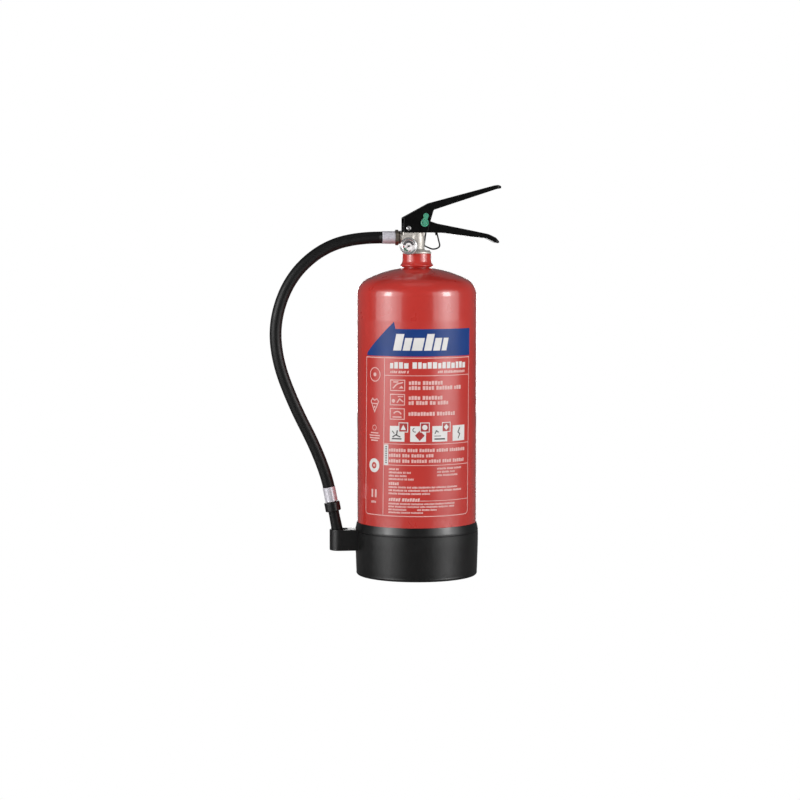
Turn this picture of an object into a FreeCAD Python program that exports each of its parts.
# Stored-pressure powder fire extinguisher, 6 kg, as separate pieces in millimetres.
# The origin is the centre of the base on the floor and +Z is up. The carrying handle points to +X, the
# hose leaves the valve towards -X, and the gauge, the label and the head of the rivet face -Y.
import FreeCAD
import Part
import math
import os

Vector = FreeCAD.Vector
UP = Vector(0, 0, 1)
RIGHT = Vector(1, 0, 0)
FORWARD = Vector(0, -1, 0)
CENTRE = Vector(0, 0, 0)

# ---------------------------------------------------------------- driving dimensions
FIT = 0.05                   # radial clearance of a running fit, and the gap between parts that touch

SHELL_R = 80.0               # the pressure vessel
SHELL_WALL = 1.5
SHELL_FOOT_Z = 46.0          # where the straight wall starts above the lower dished end
SHELL_SHOULDER_Z = 376.7     # where the straight wall ends below the upper dished end
CROWN_R = 150.0
KNUCKLE_R = 24.0
SHELL_MOUTH_R = 17.1

COLLAR_R = 19.3              # the welded neck ring
COLLAR_BORE_R = 15.05
COLLAR_FOOT_Z = 406.0
COLLAR_TOP_Z = 431.9
O_RING_R = 1.0

BASE_LIP_Z = 71.7            # the plastic foot
BASE_R = 82.8
BASE_FLOOR = 2.5
GROOVE_Z = 60.2
BASE_RIBS = 8
DRAIN_HOLES = 4
DRAIN_PITCH_R = 50.0

HOLDER_X = -104.7            # the socket for the nozzle, on the side of the foot
HOLDER_R = 13.4
HOLDER_BORE_R = 11.9
HOLDER_LOW_Z = 34.3
HOLDER_TOP_Z = 62.5
HOLDER_FLOOR = 3.0

LABEL_LOW_Z = 82.0           # the printed film
LABEL_TOP_Z = 344.0
LABEL_FILM = 0.15
LABEL_START_DEG = 204.0
LABEL_SPAN_DEG = 121.0

POWDER_TOP_Z = 309.0         # the charge
POWDER_GAP = 0.3

VALVE_FLANGE_TOP_Z = 434.4   # the valve
VALVE_STEP_TOP_Z = 436.3
VALVE_BARREL_R = 10.3
VALVE_BARREL_TOP_Z = 459.8
VALVE_SLAB_LOW_Z = 456.0
VALVE_SLAB_TOP_Z = 463.0
VALVE_SLAB_HALF_WIDTH = 9.0
VALVE_SHANK_R = 14.9
VALVE_SHANK_FOOT_Z = 404.0
VALVE_LEFT_X = -22.8
OUTLET_Z = 453.3
OUTLET_BOSS_R = 7.4
OUTLET_BORE_R = 4.2
OUTLET_THREAD_R = 6.1
OUTLET_THREAD_END_X = -12.5
CHAMBER_R = 7.6
SEAT_Z = 447.0
SEAT_BORE_R = 4.6
UPPER_CHAMBER_R = 6.0
GUIDE_LOW_Z = 457.5
GUIDE_TOP_Z = 466.0
GUIDE_TOWER_R = 5.5

STEM_R = 2.5                 # the moving stem, its seal and its spring
STEM_TOP_Z = 486.55
POPPET_R = 6.4
POPPET_LOW_Z = 439.5
POPPET_TOP_Z = 444.8
SPRING_SEAT_Z = 424.0
SPRING_COIL_R = 5.0
SPRING_WIRE_R = 0.6
SPRING_TURNS = 6

SOCKET_FOOT_Z = 400.0        # the dip tube and its socket
DIP_TUBE_R = 6.0
DIP_TUBE_BORE_R = 4.6
DIP_TUBE_TOP_Z = 415.9
DIP_TUBE_FOOT_Z = 15.0

GAUGE_X = -14.5              # the gauge; depths are measured forwards, towards -Y
GAUGE_Z = 441.8
GAUGE_BACK = 20.0
GAUGE_CASE_R = 10.4
GAUGE_BEZEL_R = 11.6
GAUGE_WINDOW_R = 7.9
GAUGE_STEM_R = 3.0
GAUGE_BOSS_R = 5.2
GAUGE_BOSS_FRONT = 12.5
DIAL_DEPTH = 24.6
NEEDLE_ANGLE_DEG = 222.0     # where the needle points at rest, anticlockwise from the right of the dial

SHEET = 1.5                  # folded steel of the two handles
SHEET_RISE = 1.65            # the same thickness, measured upright on the sloping web
FOLD_R = 1.4                 # outside radius of the folds
CARRY_HALF_WIDTH = 10.7
CARRY_REAR_X = -18.6
CARRY_LIP_X = -22.7
LEVER_HALF_WIDTH = 12.5
NOSE_R = 7.0                 # corner radius of the handles' ends, seen from above
PIVOT_X = -12.75
PIVOT_Z = 465.7
RIVET_R = 2.5
RIVET_HEAD_R = 3.2
PIN_X = 8.7                  # the safety pin
PIN_Z = 472.7
PIN_R = 1.6
LEVER_TRAVEL_DEG = 12.0

RING_Y = 17.0                # the pull ring
RING_WIRE_R = 1.0
EYE_R = 2.7

SEAL_BACK = 12.8             # the tamper seal, measured forwards
SEAL_RING_R = 5.3
SEAL_DISC_R = 3.6
SEAL_CAP = 1.4               # depth of the blind hole that takes the pin's end
SEAL_DISC_X = 10.5
SEAL_DISC_Z = 482.2

HOSE_R = 8.0                 # the hose and its fittings
HOSE_BORE_R = 5.0
FERRULE_R = 8.45
TAIL_R = 4.9
TAIL_BORE_R = 3.6
WASHER_R = 8.5
HEX_ACROSS_FLATS = 18.0
HEX_BACK_X = -24.9
HEX_FRONT_X = -29.3

NOZZLE_TILT_DEG = 11.0       # the stored nozzle leans; lengths run down its axis from the hose's end
NOZZLE_X = -119.1
NOZZLE_Z = 119.6
NOZZLE_FERRULE_LENGTH = 20.0
NOZZLE_COLLAR_START = 20.6
NOZZLE_COLLAR_END = 33.0
NOZZLE_COLLAR_R = 10.5
NOZZLE_LENGTH = 80.0

HOSE_LAST_RUN = 14.0         # the hose's last run lies on the nozzle's axis
HOSE_ROUTE = [               # x and z of the hose's corners, from the valve to the nozzle, all at y = 0
    (-47.0, OUTLET_Z),
    (-84.5, OUTLET_Z),
    (-132.2, 436.3),
    (-171.4, 397.9),
    (-191.4, 342.5),
    (-187.6, 288.0),
    (-164.6, 228.0),
    (-138.6, 177.0),
    (NOZZLE_X - HOSE_LAST_RUN * math.sin(math.radians(NOZZLE_TILT_DEG)),
     NOZZLE_Z + HOSE_LAST_RUN * math.cos(math.radians(NOZZLE_TILT_DEG))),
    (NOZZLE_X, NOZZLE_Z),
]
HOSE_ARC_SHARE = 0.45        # how much of the shorter run beside a corner its arc takes up


# ---------------------------------------------------------------- outlines and solids
def xz(x, z):
    return Vector(x, 0, z)


def closed_wire(start, *steps):
    """A closed wire in the XZ plane. A step is a point, or a pair (through, end) for an arc."""
    edges = []
    here = xz(*start)
    for step in steps + (start,):
        is_arc = isinstance(step[0], tuple)
        end = xz(*step[1]) if is_arc else xz(*step)
        if here.distanceToPoint(end) < 1e-6:
            continue
        if is_arc:
            edges.append(Part.Arc(here, xz(*step[0]), end).toShape())
        else:
            edges.append(Part.LineSegment(here, end).toShape())
        here = end
    return Part.Wire(edges)


def turned(start, *steps):
    """A solid of revolution about Z from an outline of (radius, height) points."""
    face = Part.Face(closed_wire(start, *steps))
    return face.revolve(CENTRE, UP, 360)


def corner_arc(before, corner, after, setback):
    """The tangent arc that rounds a corner: its start, middle and end points, and its radius."""
    back = (before - corner).normalize()
    ahead = (after - corner).normalize()
    half_angle = back.getAngle(ahead) / 2
    radius = setback * math.tan(half_angle)
    inward = (back + ahead).normalize()
    middle = corner + inward * (setback / math.cos(half_angle) - radius)
    return corner + back * setback, middle, corner + ahead * setback, radius


def rounded_wire(corners):
    """A closed wire in the XZ plane through (x, z, radius) corners, each rounded by its radius."""
    points = [xz(x, z) for x, z, radius in corners]
    count = len(points)
    edges = []
    pieces = []
    for index, (x, z, radius) in enumerate(corners):
        before = points[index - 1]
        after = points[(index + 1) % count]
        if radius == 0:
            pieces.append((points[index], None, points[index]))
            continue
        half_angle = (before - points[index]).getAngle(after - points[index]) / 2
        start, middle, end, _ = corner_arc(before, points[index], after, radius / math.tan(half_angle))
        pieces.append((start, middle, end))
    for index, (start, middle, end) in enumerate(pieces):
        if middle is not None:
            edges.append(Part.Arc(start, middle, end).toShape())
        following = pieces[(index + 1) % count][0]
        edges.append(Part.LineSegment(end, following).toShape())
    return Part.Wire(edges)


def plate(wire, half_width):
    """A solid of even width across Y from a closed wire in the XZ plane."""
    face = Part.Face(wire)
    face.translate(Vector(0, -half_width, 0))
    return face.extrude(Vector(0, 2 * half_width, 0))


def rod(radius, start, end):
    along = end - start
    return Part.makeCylinder(radius, along.Length, start, along)


def box(low, high):
    size = Vector(*high) - Vector(*low)
    return Part.makeBox(size.x, size.y, size.z, Vector(*low))


def cross_rod(radius, x, z, y_low, y_high):
    """A rod across the handles, parallel to Y."""
    return rod(radius, Vector(x, y_low, z), Vector(x, y_high, z))


def fused(first, *others):
    return first.multiFuse(list(others)).removeSplitter()


def lean(shape, place, degrees):
    """Turn a shape made along +Z about the Y axis, then move its origin to a place."""
    moved = shape.copy()
    moved.rotate(CENTRE, Vector(0, 1, 0), degrees)
    moved.translate(place)
    return moved


def facing_forward(shape, x, z):
    """Place a shape made along +Z so that its height runs forwards, towards -Y."""
    moved = shape.copy()
    moved.rotate(CENTRE, RIGHT, 90)
    moved.translate(Vector(x, 0, z))
    return moved


def pipe(edges, radius):
    """A round bar along a path of joined edges."""
    path = Part.Wire(edges)
    start = edges[0].valueAt(edges[0].FirstParameter)
    heading = edges[0].tangentAt(edges[0].FirstParameter)
    circle = Part.Wire(Part.makeCircle(radius, start, heading))
    return path.makePipeShell([circle], True, False)


# ---------------------------------------------------------------- pressure vessel and neck
def dished_end(tangent_z, side, inset, end_r):
    """Outline steps of a dished end from the straight wall inwards to end_r; side is +1 up, -1 down."""
    knuckle_centre_r = SHELL_R - KNUCKLE_R
    reach = CROWN_R - KNUCKLE_R
    join = math.asin(knuckle_centre_r / reach)
    crown_z = tangent_z - side * reach * math.cos(join)
    knuckle = KNUCKLE_R - inset
    crown = CROWN_R - inset

    def on_knuckle(angle):
        return knuckle_centre_r + knuckle * math.sin(angle), tangent_z + side * knuckle * math.cos(angle)

    def on_crown(angle):
        return crown * math.sin(angle), crown_z + side * crown * math.cos(angle)

    last = math.asin(end_r / crown)
    knuckle_arc = (on_knuckle((math.pi / 2 + join) / 2), on_knuckle(join))
    crown_arc = (on_crown((join + last) / 2), on_crown(last))
    return knuckle_arc, crown_arc


def vessel_outline(inset, mouth_r):
    """Steps around the vessel's section, from the foot of its wall up to the mouth."""
    radius = SHELL_R - inset
    foot = dished_end(SHELL_FOOT_Z, -1, inset, 0)
    shoulder = dished_end(SHELL_SHOULDER_Z, 1, inset, mouth_r)
    lower_knuckle, lower_crown = foot
    foot_points = [lower_crown[1], (lower_crown[0], lower_knuckle[1])]
    steps = foot_points + [(lower_knuckle[0], (radius, SHELL_FOOT_Z)), (radius, SHELL_SHOULDER_Z)]
    return steps + list(shoulder)


def vessel_solid(inset):
    """The vessel as a solid, drawn in from its outer face by inset."""
    start, *steps = vessel_outline(inset, 0)
    return turned(start, *steps)


def cylinder_shell():
    hollow = vessel_solid(0).cut(vessel_solid(SHELL_WALL))
    top = Vector(0, 0, COLLAR_TOP_Z)
    return hollow.cut(rod(SHELL_MOUTH_R, Vector(0, 0, SHELL_SHOULDER_Z), top))


def neck_collar():
    groove_r = COLLAR_BORE_R + 2 * O_RING_R + FIT
    groove_z = COLLAR_TOP_Z - 2 * O_RING_R - 2 * FIT
    return turned(
        (COLLAR_BORE_R, COLLAR_FOOT_Z),
        (SHELL_MOUTH_R - FIT, COLLAR_FOOT_Z),
        (SHELL_MOUTH_R - FIT, 413.2),
        (18.4, 413.4),
        (21.7, 415.0),
        ((22.4, 415.7), (22.2, 416.4)),
        ((20.3, 419.0), (COLLAR_R, 422.6)),
        (COLLAR_R, COLLAR_TOP_Z - 0.4),
        (COLLAR_R - 0.4, COLLAR_TOP_Z),
        (groove_r, COLLAR_TOP_Z),
        (groove_r, groove_z),
        (COLLAR_BORE_R, groove_z),
    )


def neck_o_ring():
    centre_r = COLLAR_BORE_R + O_RING_R
    centre_z = COLLAR_TOP_Z - O_RING_R - FIT
    return Part.makeTorus(centre_r, O_RING_R, Vector(0, 0, centre_z), UP)


# ---------------------------------------------------------------- plastic foot and nozzle holder
def cup_outside():
    """Steps around the outside of the foot, from the centre of its flat underside up to its lip."""
    return [
        (78.5, 0),
        ((80.7, 1.0), (81.4, 4.0)),
        (81.7, 10.0),
        (82.0, 20.0),
        (82.4, 31.0),
        (BASE_R, 47.0),
        (BASE_R, GROOVE_Z - 0.9),
        (BASE_R - 0.8, GROOVE_Z - 0.4),
        (BASE_R - 0.8, GROOVE_Z + 0.4),
        (BASE_R - 0.1, GROOVE_Z + 0.9),
        (BASE_R - 0.2, GROOVE_Z + 2.4),
        (SHELL_R + 0.6, BASE_LIP_Z),
    ]


def base_cup():
    return turned(
        (0, 0),
        *cup_outside(),
        (SHELL_R + FIT, BASE_LIP_Z),
        (SHELL_R + FIT, SHELL_FOOT_Z - 2),
        (77.4, 20.0),
        (77.0, BASE_FLOOR),
        (0, BASE_FLOOR),
    )


def base_ribs():
    """Upright ribs under the dished end, which carry the vessel."""
    blank = box((35.0, -1.25, 0.5), (77.6, 1.25, 40.0))
    clearance = vessel_solid(-2 * FIT)
    ribs = []
    for index in range(BASE_RIBS):
        rib = blank.copy()
        rib.rotate(CENTRE, UP, 360 * (index + 0.5) / BASE_RIBS)
        ribs.append(rib.cut(clearance))
    return ribs


def nozzle_holder():
    """A socket with a closed bottom, whose straight tangent walls end against the foot."""
    low = Vector(HOLDER_X, 0, HOLDER_LOW_Z)
    top = Vector(HOLDER_X, 0, HOLDER_TOP_Z)
    block = box((HOLDER_X, -HOLDER_R, HOLDER_LOW_Z), (-78.0, HOLDER_R, HOLDER_TOP_Z))
    body = fused(rod(HOLDER_R, low, top), block)
    rims = [edge for edge in body.Edges if is_flat_rim(edge)]
    body = body.makeFillet(0.8, rims)
    body = body.cut(rod(HOLDER_BORE_R, low + UP * HOLDER_FLOOR, top + UP))
    return body.cut(turned((0, 0), *cup_outside(), (0, BASE_LIP_Z)))


def is_flat_rim(edge):
    """Whether an edge lies in the holder's top or bottom face, away from the foot."""
    heights = {round(vertex.Z, 3) for vertex in edge.Vertexes}
    level = heights in ({HOLDER_LOW_Z}, {HOLDER_TOP_Z})
    return level and edge.CenterOfMass.x < -80.0


def base_skirt():
    skirt = fused(base_cup(), *base_ribs())
    for index in range(DRAIN_HOLES):
        angle = math.radians(360 * index / DRAIN_HOLES)
        place = Vector(DRAIN_PITCH_R * math.cos(angle), DRAIN_PITCH_R * math.sin(angle), -1)
        skirt = skirt.cut(Part.makeCylinder(4.0, BASE_FLOOR + 2, place))
    return skirt


# ---------------------------------------------------------------- label and charge
def label_sheet():
    inner = SHELL_R + FIT
    outer = inner + LABEL_FILM
    section = closed_wire(
        (inner, LABEL_LOW_Z),
        (outer, LABEL_LOW_Z),
        (outer, LABEL_TOP_Z),
        (inner, LABEL_TOP_Z),
    )
    film = Part.Face(section).revolve(CENTRE, UP, LABEL_SPAN_DEG)
    film.rotate(CENTRE, UP, LABEL_START_DEG)
    return film


def powder_charge():
    heap = vessel_solid(SHELL_WALL + POWDER_GAP)
    above = box((-SHELL_R, -SHELL_R, POWDER_TOP_Z), (SHELL_R, SHELL_R, COLLAR_TOP_Z))
    tube_space = rod(DIP_TUBE_R + POWDER_GAP, Vector(0, 0, 0), Vector(0, 0, POWDER_TOP_Z))
    return heap.cut(above).cut(tube_space)


# ---------------------------------------------------------------- valve
def valve_body():
    """The brass valve: threaded shank, flange, barrel, outlet and gauge bosses, slab and pivot ear."""
    trunk = turned(
        (0, VALVE_SHANK_FOOT_Z),
        (VALVE_SHANK_R - 0.8, VALVE_SHANK_FOOT_Z),
        (VALVE_SHANK_R, VALVE_SHANK_FOOT_Z + 0.8),
        (VALVE_SHANK_R, COLLAR_TOP_Z + FIT),
        (COLLAR_R - 0.3, COLLAR_TOP_Z + FIT),
        (COLLAR_R, COLLAR_TOP_Z + 0.4),
        (COLLAR_R, VALVE_FLANGE_TOP_Z - 0.4),
        (COLLAR_R - 0.4, VALVE_FLANGE_TOP_Z),
        (18.2, VALVE_FLANGE_TOP_Z + 0.2),
        (17.2, VALVE_STEP_TOP_Z),
        (12.6, VALVE_STEP_TOP_Z),
        ((11.0, 437.1), (VALVE_BARREL_R, 439.2)),
        (VALVE_BARREL_R, VALVE_BARREL_TOP_Z),
        (0, VALVE_BARREL_TOP_Z),
    )
    half = VALVE_SLAB_HALF_WIDTH
    slab = box((-20.0, -half, VALVE_SLAB_LOW_Z), (9.6, half, VALVE_SLAB_TOP_Z))
    uprights = [edge for edge in slab.Edges if edge.tangentAt(edge.FirstParameter).cross(UP).Length < 1e-6]
    slab = slab.makeFillet(2.0, uprights)
    outlet = rod(OUTLET_BOSS_R, Vector(VALVE_LEFT_X, 0, OUTLET_Z), Vector(0, 0, OUTLET_Z))
    shoulder = box((-21.0, -7.8, 445.5), (0, 7.8, VALVE_SLAB_LOW_Z + 0.5))
    ends = [edge for edge in shoulder.Edges if edge.CenterOfMass.x < -20.9]
    shoulder = shoulder.makeFillet(2.2, ends)
    gauge_boss = rod(
        GAUGE_BOSS_R, Vector(GAUGE_X, 3.0, GAUGE_Z), Vector(GAUGE_X, -GAUGE_BOSS_FRONT, GAUGE_Z))
    gauge_web = box((GAUGE_X, -6.5, 438.2), (0, 4.5, 447.0))
    ear = cross_rod(4.0, PIVOT_X, PIVOT_Z, -half, half)
    ear_foot = box((PIVOT_X - 4.0, -half, VALVE_SLAB_TOP_Z - 1), (PIVOT_X + 4.0, half, PIVOT_Z))
    tower = rod(GUIDE_TOWER_R, Vector(0, 0, VALVE_SLAB_TOP_Z - 1), Vector(0, 0, GUIDE_TOP_Z))
    body = fused(trunk, slab, outlet, shoulder, gauge_boss, gauge_web, ear, ear_foot, tower)
    body = body.cut(box((-30.0, -10.0, 460.85), (CARRY_REAR_X + SHEET + FIT, 10.0, 480.0)))
    for bore in valve_bores():
        body = body.cut(bore)
    return body


def valve_bores():
    axis_points = [
        (CHAMBER_R, VALVE_SHANK_FOOT_Z - 1, SEAT_Z),
        (SEAT_BORE_R, SEAT_Z - 1, SEAT_Z + 2),
        (UPPER_CHAMBER_R, SEAT_Z + 1.4, GUIDE_LOW_Z),
        (STEM_R + FIT, GUIDE_LOW_Z - 1, GUIDE_TOP_Z + 1),
        (STEM_R + 2.0, 459.4, 461.5),
    ]
    bores = [rod(radius, Vector(0, 0, low), Vector(0, 0, high)) for radius, low, high in axis_points]
    bores.append(rod(OUTLET_BORE_R, Vector(VALVE_LEFT_X - 1, 0, OUTLET_Z), Vector(0, 0, OUTLET_Z)))
    bores.append(rod(
        OUTLET_THREAD_R, Vector(VALVE_LEFT_X - 1, 0, OUTLET_Z), Vector(OUTLET_THREAD_END_X, 0, OUTLET_Z)))
    front = Vector(GAUGE_X, -GAUGE_BOSS_FRONT - 1, GAUGE_Z)
    bores.append(rod(GAUGE_STEM_R, front, Vector(GAUGE_X, -4.0, GAUGE_Z)))
    bores.append(rod(1.0, Vector(GAUGE_X, -4.5, GAUGE_Z), Vector(GAUGE_X, 0, GAUGE_Z)))
    bores.append(rod(1.0, Vector(GAUGE_X, 0, GAUGE_Z), Vector(0, 0, GAUGE_Z)))
    bores.append(cross_rod(RIVET_R + FIT, PIVOT_X, PIVOT_Z, -20, 20))
    return bores


def valve_stem():
    """A poppet with a long push rod above it and a short spring guide below it."""
    dome_z = STEM_TOP_Z - STEM_R
    seal_seat_z = POPPET_TOP_Z
    edge = STEM_R * math.sin(math.pi / 4)
    return turned(
        (0, 433.0),
        (2.2, 433.0),
        (3.0, 433.8),
        (3.0, POPPET_LOW_Z),
        (POPPET_R, POPPET_LOW_Z),
        (POPPET_R, seal_seat_z),
        (STEM_R, seal_seat_z),
        (STEM_R, dome_z),
        ((edge, dome_z + edge), (0, STEM_TOP_Z)),
    )


def stem_seal():
    low = Vector(0, 0, POPPET_TOP_Z)
    top = Vector(0, 0, SEAT_Z - FIT)
    return rod(POPPET_R - 0.2, low, top).cut(rod(STEM_R, low, top))


def stem_o_ring():
    minor = 0.85
    return Part.makeTorus(STEM_R + FIT + minor, minor, Vector(0, 0, 460.45), UP)


def stem_spring():
    """A compression spring between the socket's rim and the poppet."""
    low_z = SPRING_SEAT_Z + SPRING_WIRE_R + FIT
    height = POPPET_LOW_Z - SPRING_WIRE_R - FIT - low_z
    helix = Part.makeHelix(height / SPRING_TURNS, height, SPRING_COIL_R)
    helix.translate(Vector(0, 0, low_z))
    start = helix.Edges[0]
    place = start.valueAt(start.FirstParameter)
    circle = Part.Wire(Part.makeCircle(SPRING_WIRE_R, place, start.tangentAt(start.FirstParameter)))
    return Part.Wire(helix.Edges).makePipeShell([circle], True, True)


def tube_socket():
    outer = CHAMBER_R - FIT
    return turned(
        (DIP_TUBE_R + FIT, SOCKET_FOOT_Z),
        (outer, SOCKET_FOOT_Z),
        (outer, SPRING_SEAT_Z),
        (4.4, SPRING_SEAT_Z),
        (4.4, DIP_TUBE_TOP_Z + FIT),
        (DIP_TUBE_R + FIT, DIP_TUBE_TOP_Z + FIT),
    )


def dip_tube():
    low = Vector(0, 0, DIP_TUBE_FOOT_Z)
    top = Vector(0, 0, DIP_TUBE_TOP_Z)
    tube = rod(DIP_TUBE_R, low, top).cut(rod(DIP_TUBE_BORE_R, low, top))
    mouth = box((-10, -10, -10), (10, 10, 0))
    mouth.rotate(CENTRE, Vector(0, 1, 0), 35)
    mouth.translate(Vector(0, 0, DIP_TUBE_FOOT_Z + 4.2))
    return tube.cut(mouth)


# ---------------------------------------------------------------- gauge
def gauge_part(start, *steps):
    """A turned gauge part from (radius, depth) points, depth running forwards."""
    return facing_forward(turned(start, *steps), GAUGE_X, GAUGE_Z)


def gauge_case():
    back = GAUGE_BACK
    return gauge_part(
        (0, 5.0),
        (GAUGE_STEM_R - FIT, 5.0),
        (GAUGE_STEM_R - FIT, GAUGE_BOSS_FRONT + 1.2),
        (4.4, GAUGE_BOSS_FRONT + 1.2),
        (4.4, back - 1.5),
        (GAUGE_CASE_R - 1.5, back),
        (GAUGE_CASE_R, back + 1.5),
        (GAUGE_CASE_R, 27.0),
        (GAUGE_CASE_R - 0.7, 27.0),
        (GAUGE_CASE_R - 0.7, back + 1.8),
        (GAUGE_CASE_R - 1.8, back + 0.8),
        (0, back + 0.8),
    )


def gauge_washer():
    return gauge_part(
        (GAUGE_STEM_R + FIT, GAUGE_BOSS_FRONT),
        (4.9, GAUGE_BOSS_FRONT),
        (4.9, GAUGE_BOSS_FRONT + 1.1),
        (GAUGE_STEM_R + FIT, GAUGE_BOSS_FRONT + 1.1),
    )


def gauge_bezel():
    inner = GAUGE_CASE_R + FIT
    return gauge_part(
        (inner, 22.8),
        (GAUGE_BEZEL_R - 0.3, 22.8),
        (GAUGE_BEZEL_R, 23.1),
        (GAUGE_BEZEL_R, 27.0),
        ((10.9, 28.7), (9.3, 29.1)),
        ((8.6, 28.75), (GAUGE_WINDOW_R, 28.0)),
        (GAUGE_WINDOW_R, 27.85),
        (9.45, 27.85),
        (9.45, 27.05),
        (inner, 27.05),
    )


def gauge_lens():
    return gauge_part((0, 27.1), (9.4, 27.1), (9.4, 27.8), (0, 27.8))


def gauge_dial():
    return gauge_part(
        (0.9, DIAL_DEPTH), (GAUGE_CASE_R - 0.8, DIAL_DEPTH),
        (GAUGE_CASE_R - 0.8, DIAL_DEPTH + 0.4), (0.9, DIAL_DEPTH + 0.4))


def gauge_needle():
    """A tapered pointer with a counterweight tail, a round hub and its spindle."""
    hub = turned(
        (0, DIAL_DEPTH - 0.6), (0.8, DIAL_DEPTH - 0.6), (0.8, DIAL_DEPTH + 0.9),
        (1.4, DIAL_DEPTH + 0.9), (1.4, DIAL_DEPTH + 1.6), (0, DIAL_DEPTH + 1.6))
    tip = Part.makePolygon([
        Vector(-2.4, -0.55, 0), Vector(6.4, -0.14, 0), Vector(6.4, 0.14, 0), Vector(-2.4, 0.55, 0),
        Vector(-2.4, -0.55, 0)])
    blade = Part.Face(tip).extrude(UP * 0.4)
    blade.translate(Vector(0, 0, DIAL_DEPTH + 1.0))
    needle = fused(hub, blade)
    needle.rotate(CENTRE, UP, NEEDLE_ANGLE_DEG)
    return facing_forward(needle, GAUGE_X, GAUGE_Z)


def bourdon_tube():
    """A curved pressure tube behind the dial that turns the needle."""
    section = closed_wire((5.6, 21.6), (7.2, 21.6), (7.2, 23.6), (5.6, 23.6))
    arc = Part.Face(section).revolve(CENTRE, UP, 270)
    foot = box((0.0, 5.6, 20.85), (4.0, 7.2, 23.6))
    foot.rotate(CENTRE, UP, 180)
    return facing_forward(fused(arc, foot), GAUGE_X, GAUGE_Z)


# ---------------------------------------------------------------- handles, rivet and safety pin
def rounded_plan(nose_x, half_width):
    """A tall prism that rounds off a handle's free end as seen from above."""
    tail_x = -60.0
    blank = box((tail_x, -half_width, 380.0), (nose_x, half_width, 560.0))
    corners = [edge for edge in blank.Edges if is_nose_corner(edge, nose_x)]
    return blank.makeFillet(NOSE_R, corners)


def is_nose_corner(edge, nose_x):
    upright = abs(edge.tangentAt(edge.FirstParameter).z) > 0.99
    return upright and abs(edge.CenterOfMass.x - nose_x) < 1e-3


def with_soft_folds(blank, half_width, is_fold):
    """Round the outer corners of a folded sheet where its web turns into its cheeks."""
    folds = [
        edge for edge in blank.Edges
        if abs(abs(edge.CenterOfMass.y) - half_width) < 1e-3 and is_fold(edge.CenterOfMass)]
    return blank.makeFillet(FOLD_R, folds)


def carry_handle():
    """A folded sheet: two cheeks beside the valve, a rear wall, and a trough that ends in a curl."""
    outline = rounded_wire([
        (CARRY_REAR_X, 473.7, 2.0),
        (CARRY_REAR_X, 459.9, 1.0),
        (14.1, 459.9, 8.0),
        (35.2, 459.4, 30.0),
        (71.8, 454.5, 60.0),
        (93.2, 452.3, 14.0),
        (107.0, 445.7, 1.6),
        (112.2, 445.9, 1.6),
        (106.0, 453.1, 9.0),
        (96.3, 457.8, 30.0),
        (71.8, 462.9, 60.0),
        (26.3, 471.9, 20.0),
        (17.2, 475.0, 6.0),
    ])
    blank = with_soft_folds(
        plate(outline, CARRY_HALF_WIDTH), CARRY_HALF_WIDTH,
        lambda middle: middle.z < 460.8 - 0.05 * middle.x and middle.x < 94.0)
    sheet = blank.common(rounded_plan(112.2, CARRY_HALF_WIDTH))
    inner_rear_x = CARRY_REAR_X + SHEET
    trough = rounded_wire([
        (inner_rear_x, 430.0, 0),
        (15.6, 430.0, 0),
        (15.6, 461.4, 0.8),
        (35.2, 460.9, 30.0),
        (71.8, 456.0, 60.0),
        (93.2, 453.8, 14.0),
        (102.0, 449.8, 0.8),
        (104.6, 454.4, 0),
        (104.6, 500.0, 0),
        (inner_rear_x, 500.0, 0),
    ])
    sheet = sheet.cut(plate(trough, CARRY_HALF_WIDTH - SHEET))
    passage = box((-30.0, SHEET - CARRY_HALF_WIDTH, 450.0), (0.0, CARRY_HALF_WIDTH - SHEET, 460.9))
    lip = box((CARRY_LIP_X, -8.0, 460.95), (CARRY_REAR_X + 0.6, 8.0, 460.95 + SHEET))
    corners = [edge for edge in lip.Edges if is_nose_corner(edge, CARRY_LIP_X)]
    sheet = fused(sheet.cut(passage), lip.makeFillet(3.0, corners))
    sheet = sheet.cut(cross_rod(RIVET_R + FIT, PIVOT_X, PIVOT_Z, -20, 20))
    return sheet.cut(cross_rod(PIN_R + FIT, PIN_X, PIN_Z, -20, 20))


def lever_slot():
    """The slot that lets the lever drop around the pin, from the pin's place up along its arc."""
    arm_x = PIN_X - PIVOT_X
    arm_z = PIN_Z - PIVOT_Z
    turn = math.radians(LEVER_TRAVEL_DEG)
    top_x = PIVOT_X + arm_x * math.cos(turn) - arm_z * math.sin(turn)
    top_z = PIVOT_Z + arm_x * math.sin(turn) + arm_z * math.cos(turn)
    radius = PIN_R + 3 * FIT
    low = cross_rod(radius, PIN_X, PIN_Z, -20, 20)
    top = cross_rod(radius, top_x, top_z, -20, 20)
    along = Vector(top_x - PIN_X, 0, top_z - PIN_Z)
    side = Vector(-along.z, 0, along.x).normalize() * radius
    start = Vector(PIN_X, -20, PIN_Z)
    corners = [start + side, start + along + side, start + along - side, start - side, start + side]
    middle = Part.Face(Part.makePolygon(corners)).extrude(Vector(0, 40, 0))
    return fused(low, middle, top)


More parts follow.
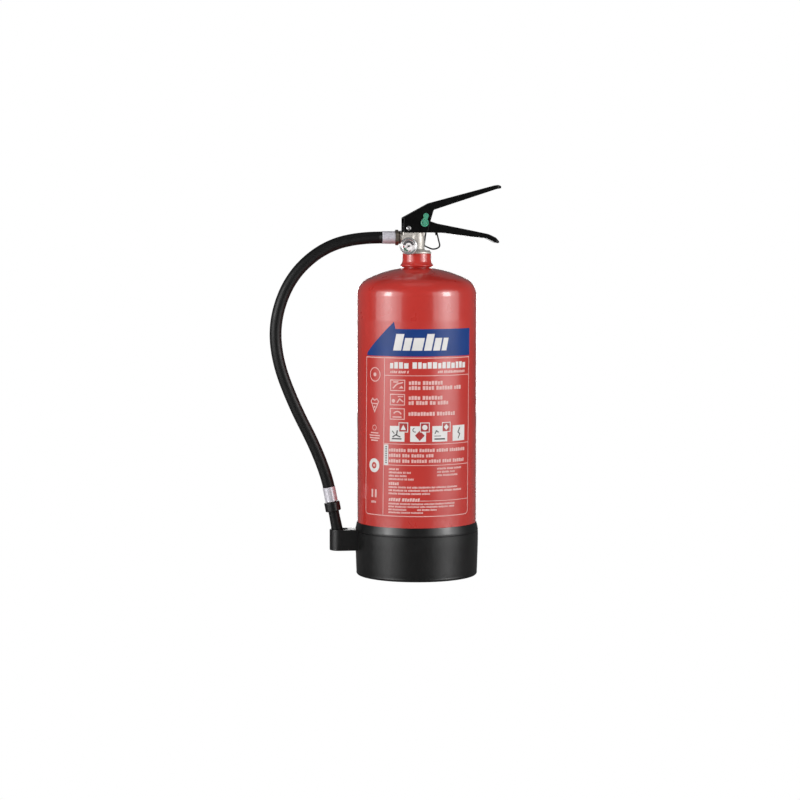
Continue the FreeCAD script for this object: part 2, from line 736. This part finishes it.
def squeeze_lever():
    """A folded sheet: a sloping web over the stem, two cheeks outside the carrying handle, an arm."""
    rear = (-19.3, 479.9)
    bend = (15.9, 499.0)
    nose = (108.0, 523.6)
    outline = rounded_wire([
        (*rear, 2.2),
        (*bend, 10.0),
        (*nose, 5.0),
        (113.4, 521.7, 1.6),
        (112.8, 519.0, 1.6),
        (106.6, 518.0, 6.0),
        (21.3, 490.0, 2.5),
        (16.9, 475.0, 20.0),
        (13.6, 459.9, 1.5),
        (-19.3, 459.9, 2.5),
    ])
    rear_slope = (bend[1] - rear[1]) / (bend[0] - rear[0])
    arm_slope = (nose[1] - bend[1]) / (nose[0] - bend[0])

    def is_fold(middle):
        slope = rear_slope if middle.x < bend[0] else arm_slope
        return middle.z > bend[1] + slope * (middle.x - bend[0]) - 1.2 and middle.x < nose[0] + 1

    blank = with_soft_folds(plate(outline, LEVER_HALF_WIDTH), LEVER_HALF_WIDTH, is_fold)
    sheet = blank.common(rounded_plan(113.4, LEVER_HALF_WIDTH))
    open_x = -40.0
    end_x = 109.5
    channel = rounded_wire([
        (open_x, 430.0, 0),
        (end_x, 430.0, 0),
        (end_x, bend[1] + arm_slope * (end_x - bend[0]) - SHEET_RISE, 2.0),
        (bend[0], bend[1] - SHEET_RISE, 8.4),
        (open_x, rear[1] + rear_slope * (open_x - rear[0]) - SHEET_RISE, 0),
    ])
    sheet = sheet.cut(plate(channel, LEVER_HALF_WIDTH - SHEET))
    sheet = sheet.cut(cross_rod(RIVET_R + 2 * FIT, PIVOT_X, PIVOT_Z, -20, 20))
    return sheet.cut(lever_slot())


def pivot_rivet():
    """A rivet with a domed head at each end; both heads have a small dimple."""
    face = LEVER_HALF_WIDTH + 2 * FIT
    head = face + 1.3
    half = turned(
        (0, 0),
        (RIVET_R, 0),
        (RIVET_R, face),
        (RIVET_HEAD_R, face),
        (RIVET_HEAD_R, face + 0.5),
        ((3.0, face + 1.1), (2.0, head)),
        (1.0, head),
        (0.8, head - 0.5),
        (0, head - 0.5),
    )
    front = facing_forward(half, PIVOT_X, PIVOT_Z)
    back = half.copy()
    back.rotate(CENTRE, RIGHT, -90)
    back.translate(Vector(PIVOT_X, 0, PIVOT_Z))
    return fused(front, back)


def safety_pin():
    """A straight pin whose rear head is drilled across for the pull ring."""
    shank = cross_rod(PIN_R, PIN_X, PIN_Z, -SEAL_BACK - SEAL_CAP + FIT, RING_Y)
    head = Part.makeSphere(EYE_R, Vector(PIN_X, RING_Y, PIN_Z))
    collar = cross_rod(2.4, PIN_X, PIN_Z, LEVER_HALF_WIDTH + 0.4, LEVER_HALF_WIDTH + 1.4)
    eye = rod(RING_WIRE_R + FIT, Vector(PIN_X - 6, RING_Y, PIN_Z), Vector(PIN_X + 6, RING_Y, PIN_Z))
    return fused(shank, head, collar).cut(eye)


def pull_ring():
    """A wire bent into a wide loop whose top run passes through the pin's eye."""
    corners = [
        (25.4, PIN_Z, 3.0),
        (29.6, 459.5, 18.0),
        (34.2, 441.0, 4.2),
        (25.6, 436.4, 12.0),
        (12.2, 442.4, 2.5),
        (14.6, 459.5, 30.0),
        (16.0, PIN_Z, 3.0),
    ]
    loop = rounded_wire(corners)
    loop.translate(Vector(0, RING_Y, 0))
    ring = pipe(loop.Edges, RING_WIRE_R)
    tail_x = PIN_X - EYE_R - 1.6
    tail = rod(RING_WIRE_R, Vector(tail_x, RING_Y, PIN_Z), Vector(20.0, RING_Y, PIN_Z))
    stop = Part.makeSphere(RING_WIRE_R + 0.6, Vector(tail_x, RING_Y, PIN_Z))
    sleeve = rod(RING_WIRE_R + 0.7, Vector(29.4, RING_Y, 456.4), Vector(27.7, RING_Y, 464.4))
    return fused(ring, tail, stop, sleeve)


def tamper_seal():
    """A moulded plastic tag: a cap on the pin's front end, a neck, and a small disc above."""
    back = SEAL_BACK
    ring = facing_forward(turned(
        (PIN_R + FIT, back),
        (SEAL_RING_R, back),
        (SEAL_RING_R, back + 1.6),
        (SEAL_RING_R - 0.5, back + 2.1),
        (SEAL_RING_R - 1.1, back + 1.9),
        (SEAL_RING_R - 1.5, back + 1.2),
        (3.0, back + 1.2),
        (2.6, back + 2.2),
        (0, back + 2.4),
        (0, back + SEAL_CAP),
        (PIN_R + FIT, back + SEAL_CAP),
    ), PIN_X, PIN_Z)
    disc = facing_forward(turned(
        (0, back), (SEAL_DISC_R, back), (SEAL_DISC_R, back + 1.2), (SEAL_DISC_R - 0.4, back + 1.6),
        (SEAL_DISC_R - 1.0, back + 1.6), (SEAL_DISC_R - 1.3, back + 1.3), (0, back + 1.3),
    ), SEAL_DISC_X, SEAL_DISC_Z)
    neck = Part.makePolygon([
        Vector(PIN_X - 3.4, -back, PIN_Z + 4.0), Vector(PIN_X + 3.6, -back, PIN_Z + 3.8),
        Vector(SEAL_DISC_X + 2.6, -back, SEAL_DISC_Z - 2.2),
        Vector(SEAL_DISC_X - 2.6, -back, SEAL_DISC_Z - 2.0),
        Vector(PIN_X - 3.4, -back, PIN_Z + 4.0)])
    bridge = Part.Face(neck).extrude(FORWARD * 1.2)
    return fused(ring, disc, bridge)


# ---------------------------------------------------------------- hose and its fittings
def outlet_part(start, *steps):
    """A turned fitting on the outlet's axis from (radius, distance from the cylinder's axis) points."""
    return lean(turned(start, *steps), xz(0, OUTLET_Z), -90)


def hose_washer():
    return outlet_part(
        (OUTLET_THREAD_R, -VALVE_LEFT_X + FIT),
        (WASHER_R, -VALVE_LEFT_X + FIT),
        (WASHER_R, -HEX_BACK_X - FIT),
        (OUTLET_THREAD_R, -HEX_BACK_X - FIT),
    )


def hose_connector():
    """A brass fitting in one piece: a threaded spigot, a hexagon and a barbed tail in the hose."""
    start, end = -HEX_BACK_X, -HEX_FRONT_X
    circle_r = HEX_ACROSS_FLATS / 2 / math.cos(math.pi / 6)
    corners = [
        Vector(circle_r * math.cos(math.radians(60 * k)), circle_r * math.sin(math.radians(60 * k)), start)
        for k in range(7)]
    hexagon = Part.Face(Part.makePolygon(corners)).extrude(UP * (end - start))
    turned_blank = turned(
        (0, start), (circle_r - 1.0, start), (circle_r, start + 0.6), (circle_r, end - 0.6),
        (circle_r - 1.0, end), (0, end))
    hexagon = lean(hexagon.common(turned_blank), xz(0, OUTLET_Z), -90)
    spigot_end = -OUTLET_THREAD_END_X + 0.5
    spigot = outlet_part(
        (0, spigot_end), (OUTLET_THREAD_R - FIT, spigot_end), (OUTLET_THREAD_R - FIT, start), (0, start))
    tail = lean(barbed_tail(end, 60.0), xz(0, OUTLET_Z), -90)
    bore = rod(TAIL_BORE_R, xz(-spigot_end + 1, OUTLET_Z), xz(-61.0, OUTLET_Z))
    return fused(hexagon, spigot, tail).cut(bore)


def barbed_tail(start, end):
    """A solid round tail along +Z with shallow barbs."""
    barbs = 4
    pitch = (end - start - 2.0) / barbs
    steps = [(TAIL_R - 0.5, start)]
    for index in range(barbs):
        low = start + 2.0 + index * pitch
        steps.append((TAIL_R - 0.5, low))
        steps.append((TAIL_R, low))
        steps.append((TAIL_R - 0.5, low + pitch))
    return turned((0, start), *steps, (0, end))


def ferrule(length):
    """A pressed sleeve along +Z with a rolled edge and a lip that closes its first end."""
    inner = HOSE_R - 0.45
    outer = FERRULE_R
    return turned(
        (TAIL_R + 0.1, 0),
        (outer - 0.5, 0),
        (outer, 0.5),
        (outer, length - 0.3),
        (outer - 0.3, length),
        (inner, length),
        (inner, 1.2),
        (TAIL_R + 0.1, 1.2),
    )


def ferrule_valve():
    start_x = HEX_FRONT_X - FIT
    length = start_x - HOSE_ROUTE[0][0] - FIT
    return lean(ferrule(length), xz(start_x, OUTLET_Z), -90)


def hose_path():
    """The hose's centreline: straight runs joined by tangent arcs. Prints each arc's radius."""
    points = [xz(x, z) for x, z in HOSE_ROUTE]
    edges = []
    here = points[0]
    for before, corner, after in zip(points, points[1:], points[2:]):
        setback = HOSE_ARC_SHARE * min((corner - before).Length, (after - corner).Length)
        start, middle, end, radius = corner_arc(before, corner, after, setback)
        edges.append(Part.LineSegment(here, start).toShape())
        edges.append(Part.Arc(start, middle, end).toShape())
        here = end
        print(f"hose arc radius {radius:.0f} mm")
    edges.append(Part.LineSegment(here, points[-1]).toShape())
    return edges


def hose():
    edges = hose_path()
    tube = pipe(edges, HOSE_R).cut(pipe(edges, HOSE_BORE_R))
    length = sum(edge.Length for edge in edges)
    expected = math.pi * (HOSE_R ** 2 - HOSE_BORE_R ** 2) * length
    print(f"hose length {length:.0f} mm, volume over section times length {tube.Volume / expected:.4f}")
    return tube


def on_nozzle(shape):
    """Place a shape made along +Z on the nozzle's leaning axis, starting at the hose's end."""
    return lean(shape, xz(*HOSE_ROUTE[-1]), 180 - NOZZLE_TILT_DEG)


def ferrule_nozzle():
    sleeve = ferrule(NOZZLE_FERRULE_LENGTH - FIT)
    sleeve.rotate(CENTRE, RIGHT, 180)
    sleeve.translate(UP * NOZZLE_FERRULE_LENGTH)
    return on_nozzle(sleeve)


def nozzle_tail():
    """The brass tail that joins the hose's end to the nozzle."""
    length = NOZZLE_COLLAR_END - 4.0
    reversed_tail = barbed_tail(0, NOZZLE_FERRULE_LENGTH + 8.0)
    reversed_tail.rotate(CENTRE, RIGHT, 180)
    reversed_tail.translate(UP * NOZZLE_FERRULE_LENGTH)
    stub = rod(6.0, UP * (NOZZLE_FERRULE_LENGTH + FIT), UP * length)
    joined = fused(reversed_tail, stub, rod(TAIL_R - 0.5, UP * 15.0, UP * 22.0))
    return on_nozzle(joined.cut(rod(TAIL_BORE_R, UP * -20.0, UP * 50.0)))


def nozzle_collar():
    """The moulded nut that holds the nozzle."""
    start, end = NOZZLE_COLLAR_START, NOZZLE_COLLAR_END
    outer = NOZZLE_COLLAR_R
    return on_nozzle(turned(
        (6.05, start),
        (outer - 1.1, start),
        ((outer - 0.35, start + 0.35), (outer, start + 1.1)),
        (outer, end - 1.1),
        ((outer - 0.35, end - 0.35), (outer - 1.1, end)),
        (6.05, end),
    ))


def nozzle():
    start = NOZZLE_COLLAR_END + FIT
    widest = NOZZLE_COLLAR_END + 29.0
    end = NOZZLE_LENGTH
    return on_nozzle(turned(
        (4.2, start),
        (7.15, start),
        (7.15, start + 8.0),
        (7.7, widest),
        (7.7, widest + 4.0),
        (7.3, end - 1.0),
        (6.7, end),
        (5.6, end),
        (4.2, end - 22.0),
    ))


# ---------------------------------------------------------------- export
PIECES = [
    cylinder_shell, neck_collar, neck_o_ring, base_skirt, nozzle_holder, label_sheet, powder_charge,
    valve_body, valve_stem, stem_seal, stem_o_ring, stem_spring, tube_socket, dip_tube,
    gauge_case, gauge_washer, gauge_bezel, gauge_lens, gauge_dial, gauge_needle, bourdon_tube,
    carry_handle, squeeze_lever, pivot_rivet, safety_pin, pull_ring, tamper_seal,
    hose_washer, hose_connector, ferrule_valve, hose, ferrule_nozzle, nozzle_tail, nozzle_collar, nozzle,
]

os.makedirs("parts", exist_ok=True)
for make in PIECES:
    shape = make()
    if len(shape.Solids) != 1 or not shape.isValid():
        raise ValueError(f"{make.__name__} is not one valid solid: {len(shape.Solids)}")
    shape.Solids[0].exportStep(f"parts/{make.__name__}.step")
    print(f"{make.__name__}: {shape.Volume / 1000:.2f} cm3")
